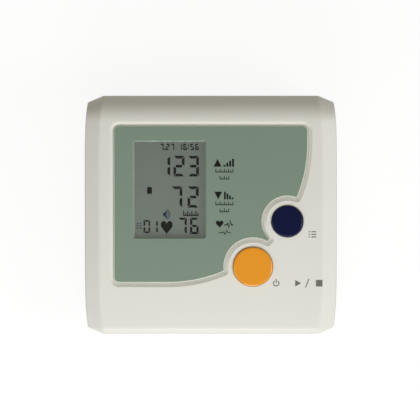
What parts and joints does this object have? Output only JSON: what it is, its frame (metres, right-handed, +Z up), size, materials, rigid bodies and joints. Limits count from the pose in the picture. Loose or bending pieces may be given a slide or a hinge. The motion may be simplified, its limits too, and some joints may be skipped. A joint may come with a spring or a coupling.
{
  "type": "blood pressure monitor",
  "caption": "Desktop blood pressure monitor: wedge-shaped casing with a display window, two round keys, air socket, power socket, sliding battery door and a working pump and valve inside.",
  "frame": {"origin": "on the table, under the middle of the casing, level with the undersides of the feet", "axes": "+X across the casing to the user's right, +Y from the front edge to the rear edge, +Z up"},
  "size_m": [0.13, 0.123, 0.0535],
  "materials": {
    "case_plastic": "fine matt texture",
    "faceplate_plastic": "fine satin",
    "clear_window": "clear acrylic",
    "start_key_plastic": "satin",
    "memory_key_plastic": "satin",
    "foot_rubber": "matt",
    "steel": "zinc plated",
    "nickel": "nickel plated",
    "board": "glass fibre board",
    "black_plastic": "moulded",
    "white_plastic": "moulded nylon",
    "display_glass": "thin glass",
    "contact_rubber": "layered contact strip",
    "tube_rubber": "silicone",
    "cell_jacket": "plain jacket",
    "copper": "enamelled copper wire",
    "magnet": "ferrite",
    "diaphragm_rubber": "matt",
    "wire_jacket": "soft PVC"
  },
  "bodies": {
    "case": {"top_case": "case_plastic", "bottom_case": "case_plastic", "faceplate": "faceplate_plastic", "display_window": "clear_window", "rubber_feet": "foot_rubber", "case_screws": "steel", "board_screws": "steel", "start_switch_housing": "black_plastic", "memory_switch_housing": "black_plastic", "start_switch_cover": "nickel", "memory_switch_cover": "nickel", "main_board": "board", "display_holder": "white_plastic", "display_glass_front": "display_glass", "display_glass_rear": "display_glass", "display_connector_strip": "contact_rubber", "pressure_sensor": "white_plastic", "buzzer": "black_plastic", "controller_chip": "black_plastic", "controller_pins": "nickel", "capacitors": "nickel", "small_components": "black_plastic", "lead_headers": "white_plastic", "battery_cell_1": "cell_jacket", "battery_cell_2": "cell_jacket", "battery_cell_3": "cell_jacket", "battery_cell_4": "cell_jacket", "battery_springs": "nickel", "battery_plates": "nickel", "motor_can": "steel", "motor_end_cap": "black_plastic", "motor_magnets": "magnet", "pump_chamber": "black_plastic", "pump_diaphragm": "diaphragm_rubber", "pump_head": "black_plastic", "pump_pad": "foot_rubber", "valve_nozzle": "white_plastic", "valve_yoke": "steel", "valve_bobbin": "white_plastic", "valve_winding": "copper", "valve_spring": "nickel", "air_manifold": "white_plastic", "air_tubes": "tube_rubber", "air_socket": "black_plastic", "air_socket_gasket": "diaphragm_rubber", "air_socket_nut": "white_plastic", "power_socket": "black_plastic", "power_socket_pin": "nickel", "pump_leads": "wire_jacket", "valve_leads": "wire_jacket", "power_leads": "wire_jacket", "battery_leads": "wire_jacket"},
    "start_key": {"start_button": "start_key_plastic", "start_switch_plunger": "black_plastic"},
    "memory_key": {"memory_button": "memory_key_plastic", "memory_switch_plunger": "black_plastic"},
    "battery_door": {"battery_door": "case_plastic"},
    "pump_rotor": {"motor_rotor": "copper", "pump_crank": "white_plastic"},
    "valve_plunger": {"valve_plunger": "steel"}
  },
  "joints": [
    {"name": "start_key_press", "type": "slide", "parent": "case", "child": "start_key", "axis": [0, 0.1219, -0.9925], "range_m": [0, 0.0006], "stiffness_N_per_m": 800, "springref_m": -0.0005},
    {"name": "memory_key_press", "type": "slide", "parent": "case", "child": "memory_key", "axis": [0, 0.1219, -0.9925], "range_m": [0, 0.0006], "stiffness_N_per_m": 800, "springref_m": -0.0005},
    {"name": "battery_door_slide", "type": "slide", "parent": "case", "child": "battery_door", "axis": [0, 1, 0], "range_m": [0, 0.072]},
    {"name": "pump_rotor_spin", "type": "hinge", "parent": "case", "child": "pump_rotor", "pos_m": [-0.037, -0.0345, 0.016], "axis": [0, 1, 0], "continuous": true},
    {"name": "valve_plunger_slide", "type": "slide", "parent": "case", "child": "valve_plunger", "axis": [0, 1, 0], "range_m": [0, 0.0008], "stiffness_N_per_m": 150, "springref_m": -0.001, "deforming": ["valve_spring"]}
  ]
}
